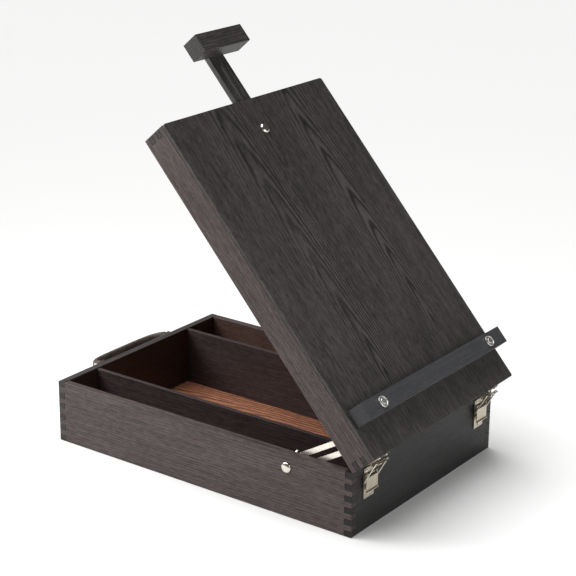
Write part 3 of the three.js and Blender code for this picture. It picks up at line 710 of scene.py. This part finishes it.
@dataclass
class Board:
    """One wooden board: a CAD node with eased edges and its own cut of timber."""

    node: str
    stain: Stain
    lie: Lie
    place: Matrix = field(default_factory=lambda: BOX)
    inside: Vector | None = None
    ease: float = 0.45 * MM
    cut: Cut = Cut()
    merge_flats: bool = True

    def build(self) -> None:
        """Models the board, marks its end grain and edges and gives it its timber."""
        piece = copy_of(self.node, f"{self.node}_board", self.merge_flats)
        soften(piece, self.ease, 3)
        self.mark(piece)
        centre = self.place @ middle(self.node, self.place)
        seed = (sum(map(ord, self.node)) % 97) / 7
        fit_in(piece, self.node, Timber(f"{self.node}_timber", self.stain, self.lie, self.place,
                                        centre, self.cut, seed))

    def mark(self, piece: bpy.types.Object) -> None:
        """Stores on each face whether it is end grain, an eased edge or an inner face."""
        turn = self.place.to_3x3()
        directions = [turn @ axis for axis in self.lie.value]
        mesh = piece.data
        marks = {name: mesh.attributes.new(name, "FLOAT", "FACE").data
                 for name in ("end_grain", "edge", "inner")}
        for face in mesh.polygons:
            shares = [abs(face.normal.dot(axis)) for axis in directions]
            marks["end_grain"][face.index].value = float(shares[1] > 0.7)
            marks["edge"][face.index].value = float(max(shares) < 0.985)
            if self.inside is not None:
                marks["inner"][face.index].value = float(face.normal.dot(self.inside) > 0.7)


@dataclass
class DomeBolt:
    """A dome-headed bolt whose head lies against a board, with a threaded end."""

    node: str
    place: Matrix
    shank: float
    pitch: float = 0.8 * MM
    thread_depth: float = 0.25 * MM
    thread_length: float = 11 * MM
    head_height: float = 2.8 * MM
    dome_steps: int = 12

    def build(self) -> None:
        """Turns the shank with its thread, then the head with its rounded rim."""
        low, high = extent(self.node, self.place)
        head = (high.x - low.x) / 2
        seat = high.z - self.head_height
        root = self.shank - self.thread_depth
        profile = [(root, low.z)]
        rise = low.z
        while rise < low.z + self.thread_length:
            profile += [(self.shank, rise + self.pitch * 0.4), (root, rise + self.pitch)]
            rise += self.pitch
        profile += [(self.shank, rise + self.pitch), (self.shank, seat), (head * 0.94, seat),
                    (head, seat + self.head_height * 0.06)]
        for step in range(1, self.dome_steps):
            angle = math.pi / 2 * step / self.dome_steps
            profile.append((head * math.cos(angle) ** 0.75,
                            seat + self.head_height * (0.06 + 0.94 * math.sin(angle) ** 1.2)))
        piece = turned(f"{self.node}_turned", profile)
        settle(piece, self.place @ moved((low.x + high.x) / 2, (low.y + high.y) / 2, 0))
        fit_in(piece, self.node, NICKEL)


@dataclass
class Pin:
    """A plain pin between two ends, with rounded rims."""

    node: str
    rim: float = 0.25 * MM

    def build(self) -> None:
        """Turns the pin and lays it along the X axis."""
        low, high = extent(self.node, BOX)
        radius = (high.z - low.z) / 2
        half = (high.x - low.x) / 2
        profile = [(radius - self.rim, -half), (radius, self.rim - half),
                   (radius, half - self.rim), (radius - self.rim, half)]
        piece = turned(f"{self.node}_turned", profile, 24)
        settle(piece, Matrix.Translation((low + high) / 2) @ facing(90, "Y"))
        fit_in(piece, self.node, NICKEL)


@dataclass
class Pressing:
    """A pressed or cast metal piece: a CAD node with its edges rounded off."""

    node: str
    edge: float = 0.22 * MM
    finish: Finish = NICKEL

    def build(self) -> None:
        """Rounds the edges of the CAD shape and plates it."""
        piece = copy_of(self.node, f"{self.node}_pressed")
        soften(piece, self.edge, 2)
        fit_in(piece, self.node, self.finish)


# ------------------------------------------------------------------ sub-assemblies


@dataclass
class Case:
    """The finger-jointed case: four walls, the floor and two dividers."""

    divider_ease: float = 0.3 * MM
    left_cut: Cut = Cut((0.09, -0.05), 0.012)
    right_cut: Cut = Cut((-0.02, 0.06), 0.03)
    front_cut: Cut = Cut((0.1, -0.05))
    back_cut: Cut = Cut((-0.08, 0.07))
    floor_cut: Cut = Cut((0.03, -0.05), 0.05, ring_depth=0.7, gloss=0.5)
    divider_cut: Cut = Cut((0.02, 0.07), ring_depth=0.2, gloss=0.42)

    def walls(self) -> list[Board]:
        """Returns the four walls, each with a bare inner face."""
        return [
            Board("base_left_wall", SMOKED, Lie.SIDE_BOARD, inside=X_AXIS, cut=self.left_cut),
            Board("base_right_wall", SMOKED, Lie.SIDE_BOARD, inside=-X_AXIS, cut=self.right_cut),
            # The front wall takes the darker ebony stain as painted shade; it is the same wood as the back wall.
            Board("base_front_wall", EBONY_PAINTED_SHADE, Lie.END_BOARD, inside=Y_AXIS, cut=self.front_cut),
            Board("base_back_wall", EBONY, Lie.END_BOARD, inside=-Y_AXIS, cut=self.back_cut),
        ]

    def insides(self) -> list[Board]:
        """Returns the floor and the dividers."""
        floor = Board("base_floor_panel", RUSSET, Lie.FLAT_BOARD, cut=self.floor_cut)
        dividers = [Board(f"{side}_divider", UMBER, Lie.SIDE_BOARD, ease=self.divider_ease,
                          cut=self.divider_cut) for side in SIDES]
        return [floor, *dividers]

    def build(self) -> None:
        """Builds all the boards of the case."""
        for board in [*self.walls(), *self.insides()]:
            board.build()


@dataclass
class Lid:
    """The lid: four finger-jointed rails and the painting board on them."""

    panel_ease: float = 0.6 * MM
    left_cut: Cut = Cut((0.07, -0.05))
    right_cut: Cut = Cut((-0.06, 0.05))
    lower_cut: Cut = Cut((0.06, 0.05))
    upper_cut: Cut = Cut((-0.07, 0.05))
    panel_cut: Cut = Cut((0.01, -0.012), 0.075, 0.0036, twin=0.062, ring_depth=0.85, arch=0.045,
                         pores=0.75, gloss=0.44)

    def rails(self) -> list[Board]:
        """Returns the four rails, each with a bare inner face."""
        up = LID.to_3x3() @ Y_AXIS
        return [
            Board("lid_left_rail", SMOKED, Lie.SIDE_BOARD, LID, X_AXIS, cut=self.left_cut),
            Board("lid_right_rail", SMOKED, Lie.SIDE_BOARD, LID, -X_AXIS, cut=self.right_cut),
            Board("lid_lower_rail", EBONY, Lie.END_BOARD, LID, up, cut=self.lower_cut),
            Board("lid_upper_rail", EBONY, Lie.END_BOARD, LID, -up, cut=self.upper_cut),
        ]

    def panel(self) -> Board:
        """Returns the painting board, whose flat sides keep the CAD's triangles."""
        return Board("lid_panel", EBONY, Lie.FLAT_BOARD, LID, ease=self.panel_ease,
                     cut=self.panel_cut, merge_flats=False)

    def build(self) -> None:
        """Builds the rails and the painting board."""
        for board in [*self.rails(), self.panel()]:
            board.build()


@dataclass
class Mast:
    """The sliding mast with its head, and the bolt and wing nut that clamp it."""

    head_ease: float = 0.7 * MM
    bolt_shank: float = 2 * MM
    bar_cut: Cut = Cut((0.05, -0.05))
    head_cut: Cut = Cut((0.04, -0.05))

    def build(self) -> None:
        """Builds the bar, the head and the clamp."""
        Board("mast", EBONY, Lie.FLAT_BOARD, LID, cut=self.bar_cut).build()
        Board("mast_head", EBONY, Lie.CROSS_BOARD, LID, ease=self.head_ease,
              cut=self.head_cut).build()
        DomeBolt("mast_bolt", LID, self.bolt_shank).build()
        Pressing("mast_washer").build()
        Pressing("mast_wing_nut").build()


@dataclass
class Ledge:
    """The canvas ledge and its two bolts, whose wide flat caps carry a ring and a button."""

    ease: float = 0.6 * MM
    cut: Cut = Cut((0.05, 0.06), ring=0.0022, ring_depth=0.08, pores=0.15, gloss=0.42)
    shank: float = 2.5 * MM
    cap_height: float = 2.4 * MM
    ring: float = 1.0 * MM
    hollow: float = 0.45 * MM
    round_off: float = 0.5 * MM

    def build_bolt(self, side: str) -> None:
        """Turns one bolt's shank and its ringed cap."""
        node = f"ledge_bolt_{side}"
        low, high = extent(node, LID)
        cap = (high.x - low.x) / 2
        top = high.z
        seat = top - self.cap_height
        rim = cap - self.round_off
        profile = [
            (self.shank * 0.8, low.z), (self.shank, low.z + self.round_off), (self.shank, seat),
            (rim, seat), (cap, seat + self.round_off), (cap, top - self.round_off),
            (cap - self.round_off * 0.3, top - self.round_off * 0.3), (rim, top),
            (rim - self.ring, top), (rim - self.ring * 1.3, top - self.hollow),
            (cap * 0.52, top - self.hollow), (cap * 0.46, top - self.hollow * 0.2),
            (cap * 0.3, top), (cap * 0.1, top),
        ]
        piece = turned(f"{node}_turned", profile, 56)
        settle(piece, LID @ moved((low.x + high.x) / 2, (low.y + high.y) / 2, 0))
        fit_in(piece, node, SATIN_NICKEL)

    def build(self) -> None:
        """Builds the ledge with its bolts and nuts."""
        Board("ledge", INK, Lie.CROSS_BOARD, LID, ease=self.ease, cut=self.cut).build()
        for side in SIDES:
            self.build_bolt(side)
            Pressing(f"ledge_nut_{side}").build()


@dataclass
class Stay:
    """One slotted stay of the lid, with its pin and the bolt and wing nut that clamp it."""

    side: str
    bolt_shank: float = 2.5 * MM

    def build(self) -> None:
        """Builds the strip and its fittings."""
        outward = facing(90 if self.side == "right" else -90, "Y")
        Pressing(f"stay_{self.side}", finish=STAY_NICKEL).build()
        DomeBolt(f"stay_bolt_{self.side}", outward, self.bolt_shank).build()
        for kind in ("pin", "washer", "wing_nut"):
            Pressing(f"stay_{kind}_{self.side}").build()


@dataclass
class Latch:
    """One toggle latch: plate, lever, pin and wire bail on the case, catch on the lid."""

    end: str
    side: str
    edge: float = 0.2 * MM
    wire: float = 0.8 * MM
    bend: float = 1.2 * MM
    stub: float = 2.1 * MM

    def seat(self) -> Matrix:
        """Returns the latch's frame at the seam: X along it, -Y out from the wall, Z up."""
        pin = middle(f"latch_pin_{self.end}_{self.side}", BOX)
        low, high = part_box(f"base_{self.end}_wall")
        out = low.y if self.end == "front" else high.y
        turn = facing(180, "Z") if self.end == "back" else BOX
        return moved(pin.x, out, high.z) @ turn

    def build_bail(self) -> None:
        """Bends the wire loop through the CAD bail's ends and corners."""
        node = f"latch_bail_{self.end}_{self.side}"
        seat = self.seat()
        low, high = extent(node, seat)
        reach = high.x - self.wire
        foot = seat.inverted() @ pivot_of(f"latch_bail_turn_{self.end}_{self.side}")
        foot.x = 0
        is_hooked = self.end == "front"
        loop = high.z - self.wire if is_hooked else low.z + self.wire
        head = Vector((0, low.y + self.wire, loop))
        inner = reach - self.stub
        path = [foot - inner * X_AXIS, foot - reach * X_AXIS, head - reach * X_AXIS,
                head + reach * X_AXIS, foot + reach * X_AXIS, foot + inner * X_AXIS]
        piece = bent_wire(f"{node}_wire", path, self.wire, self.bend)
        settle(piece, seat)
        fit_in(piece, node, NICKEL)

    def build(self) -> None:
        """Builds the latch's five pieces."""
        Pin(f"latch_pin_{self.end}_{self.side}").build()
        self.build_bail()
        for kind in ("plate", "lever", "catch"):
            Pressing(f"latch_{kind}_{self.end}_{self.side}", self.edge, WARM_NICKEL).build()


@dataclass
class Handle:
    """The carrying handle: a padded leather grip between two brackets."""

    voxel: float = 0.8 * MM
    padding_passes: int = 8

    def build(self) -> None:
        """Rounds the grip over, then builds its brackets and pins."""
        piece = copy_of("handle_grip", "handle_grip_leather")
        apply_modifier(piece, "REMESH", mode="VOXEL", voxel_size=self.voxel)
        apply_modifier(piece, "SMOOTH", factor=0.5, iterations=self.padding_passes)
        smooth(piece, 60)
        fit_in(piece, "handle_grip", Leather())
        for side in SIDES:
            Pin(f"handle_pin_{side}").build()
            Pressing(f"handle_bracket_{side}").build()


@dataclass
class Screws:
    """The small slotted screws of the latch plates, the catches and the handle brackets."""

    head: float = 2.3 * MM
    height: float = 1.0 * MM
    shank: float = 1.1 * MM
    point: float = 0.7 * MM
    length: float = 2.2 * MM
    plate_face: float = 1.3 * MM
    plate_foot: float = 4 * MM
    plate_out: float = 5.5 * MM
    plate_drop: float = 3.4 * MM
    bracket_face: float = 1.5 * MM
    bracket_drops: tuple[float, float] = (8.5 * MM, 16 * MM)
    catch_face: float = 1.0 * MM
    catch_out: float = 6.6 * MM
    catch_drop: float = 3 * MM
    slot_step: float = 1.9

    def pattern(self) -> bpy.types.Object:
        """Turns one pan-head screw about +Z and sinks a slot across it."""
        head, height = self.head, self.height
        profile = [(self.point, -self.length), (self.shank, 0.6 * MM - self.length),
                   (self.shank, 0), (head, 0), (head, height * 0.35),
                   (head * 0.92, height * 0.68), (head * 0.72, height * 0.9),
                   (head * 0.4, height)]
        piece = turned("screw_pattern", profile, 24)
        bpy.ops.object.select_all(action="DESELECT")
        bpy.ops.mesh.primitive_cube_add(size=1, location=(0, 0, height))
        blade = bpy.context.object
        blade.scale = (head * 2.4, head * 0.26, height * 0.9)
        settle(blade)
        apply_modifier(piece, "BOOLEAN", operation="DIFFERENCE", object=blade, solver="EXACT")
        bpy.data.objects.remove(blade)
        smooth(piece, 30)
        piece.data.materials.append(NICKEL.material())
        return piece

    def latch_places(self, latch: Latch) -> Iterator[tuple[str, str, Matrix]]:
        """Yields the places of the three screws of a latch's plate and the two of its catch."""
        name = f"{latch.end}_{latch.side}"
        seat = latch.seat()
        low, high = extent(f"latch_plate_{name}", seat)
        spots = ((0, low.z + self.plate_foot), (-self.plate_out, high.z - self.plate_drop),
                 (self.plate_out, high.z - self.plate_drop))
        for row, (x, z) in enumerate(spots):
            yield (f"latch_screw_{name}_{row}", "base",
                   seat @ moved(x, -self.plate_face, z) @ facing(90, "X"))
        low, high = extent(f"latch_catch_{name}", LID)
        out = -1 if latch.end == "front" else 1
        face = (high.y if latch.end == "front" else low.y) + out * self.catch_face
        for row, offset in enumerate((-self.catch_out, self.catch_out)):
            place = moved((low.x + high.x) / 2 + offset, face, high.z - self.catch_drop)
            yield f"catch_screw_{name}_{row}", "lid", LID @ place @ facing(-90 * out, "X")

    def bracket_places(self, side: str) -> Iterator[tuple[str, str, Matrix]]:
        """Yields the places of the two screws of one handle bracket."""
        low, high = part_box(f"handle_bracket_{side}")
        pivot = pivot_of("handle_swing")
        for row, drop in enumerate(self.bracket_drops):
            place = moved((low.x + high.x) / 2, low.y + self.bracket_face, pivot.z - drop)
            yield f"bracket_screw_{side}_{row}", "base", place @ facing(-90, "X")

    def places(self, latches: Sequence[Latch]) -> Iterator[tuple[str, str, Matrix]]:
        """Yields each screw's name, body and place, with +Z out of the wall."""
        for latch in latches:
            yield from self.latch_places(latch)
        for side in SIDES:
            yield from self.bracket_places(side)

    def build(self, latches: Sequence[Latch]) -> None:
        """Models one screw and sets a copy with its own mesh at each place."""
        pattern = self.pattern()
        for number, (name, body, place) in enumerate(self.places(latches)):
            screw = pattern.copy()
            screw.data = pattern.data.copy()
            screw.name = name
            bpy.context.scene.collection.objects.link(screw)
            settle(screw, place @ Matrix.Rotation(number * self.slot_step, 4, "Z"))
            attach(screw, body)
            LOG.info("%s on %s", name, body)
        bpy.data.objects.remove(pattern)


# ------------------------------------------------------------------ studio


@dataclass(frozen=True)
class Softbox:
    """A soft rectangular light: its name, place, width and height, and power in watts."""

    name: str
    place: tuple[float, float, float]
    size: tuple[float, float]
    power: float


@dataclass
class Studio:
    """A pale floor, daylight with two softboxes, and the camera.

    The camera stands on an azimuth and elevation in degrees about its aim. The daylight's
    power is in watts per square metre and its spread in degrees.
    """

    aim: Vector = field(default_factory=lambda: Vector((0.00279, -0.01625, 0.1993)))
    distance: float = 2.001
    azimuth: float = 54.1
    elevation: float = 19.35
    roll: float = 0.6
    lens: float = 108.5
    floor_size: float = 200
    floor_drop: float = 0.2 * MM
    floor_colour: Colour = rgb(0.93, 0.93, 0.925)
    air: float = 0.08
    softboxes: tuple[Softbox, ...] = (
        Softbox("back_window", (-0.5, 0.55, 0.5), (0.35, 0.35), 3.4),
        Softbox("front_card", (-0.15, -0.95, 0.55), (0.7, 0.4), 2.8),
    )
    daylight_from: tuple[float, float, float] = (-0.1, 0.35, 0.93)
    daylight_power: float = 3.15
    daylight_spread: float = 65

    def build(self) -> None:
        """Sets up the floor, the lights, the air and the camera."""
        self.add_floor()
        for softbox in self.softboxes:
            self.add_softbox(softbox)
        self.add_daylight()
        world = bpy.data.worlds.new("studio_air")
        world.use_nodes = True
        background = world.node_tree.nodes["Background"]
        background.inputs["Color"].default_value = rgb(1, 1, 1)
        background.inputs["Strength"].default_value = self.air
        bpy.context.scene.world = world
        bpy.context.scene.view_settings.view_transform = "Standard"
        self.add_camera()

    def add_floor(self) -> None:
        """Lays the floor just under the object."""
        bpy.ops.object.select_all(action="DESELECT")
        bpy.ops.mesh.primitive_plane_add(size=self.floor_size, location=(0, 0, -self.floor_drop))
        floor = bpy.context.object
        floor.name = "studio_floor"
        paper = Shader("studio_paper").finish(Base_Color=self.floor_colour, Roughness=0.75)
        floor.data.materials.append(paper)

    def add_softbox(self, softbox: Softbox) -> None:
        """Hangs a softbox that faces the object and stays out of the picture."""
        data = bpy.data.lights.new(softbox.name, "AREA")
        data.shape = "RECTANGLE"
        data.size, data.size_y = softbox.size
        data.energy = softbox.power
        light = bpy.data.objects.new(softbox.name, data)
        light.location = softbox.place
        direction = self.aim - light.location
        light.rotation_euler = direction.to_track_quat("-Z", "Y").to_euler()
        light.visible_camera = False
        bpy.context.scene.collection.objects.link(light)

    def add_daylight(self) -> None:
        """Adds even, soft daylight that reaches the whole floor."""
        data = bpy.data.lights.new("daylight", "SUN")
        data.energy = self.daylight_power
        data.angle = math.radians(self.daylight_spread)
        light = bpy.data.objects.new("daylight", data)
        light.rotation_euler = Vector(self.daylight_from).to_track_quat("Z", "Y").to_euler()
        bpy.context.scene.collection.objects.link(light)

    def add_camera(self) -> None:
        """Places the camera on its azimuth and elevation about the aim."""
        azimuth = math.radians(self.azimuth)
        elevation = math.radians(self.elevation)
        forward = Vector((math.sin(azimuth) * math.cos(elevation),
                          math.cos(azimuth) * math.cos(elevation), -math.sin(elevation)))
        data = bpy.data.cameras.new("camera")
        data.lens = self.lens
        camera = bpy.data.objects.new("camera", data)
        turn = forward.to_track_quat("-Z", "Y").to_matrix()
        turn = turn @ Matrix.Rotation(math.radians(self.roll), 3, "Z")
        camera.matrix_world = Matrix.Translation(self.aim - forward * self.distance) @ turn.to_4x4()
        bpy.context.scene.collection.objects.link(camera)
        bpy.context.scene.camera = camera


def main() -> None:
    """Builds the studio and every sub-assembly in order."""
    logging.basicConfig(level=logging.INFO, format="%(name)s: %(message)s")
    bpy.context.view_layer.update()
    latches = [Latch(end, side) for end in ENDS for side in SIDES]
    stays = [Stay(side) for side in SIDES]
    for assembly in [Studio(), Case(), Lid(), Mast(), Ledge(), *stays, *latches, Handle()]:
        LOG.info("building %s", type(assembly).__name__)
        assembly.build()
    Screws().build(latches)


if __name__ == "__main__":
    main()
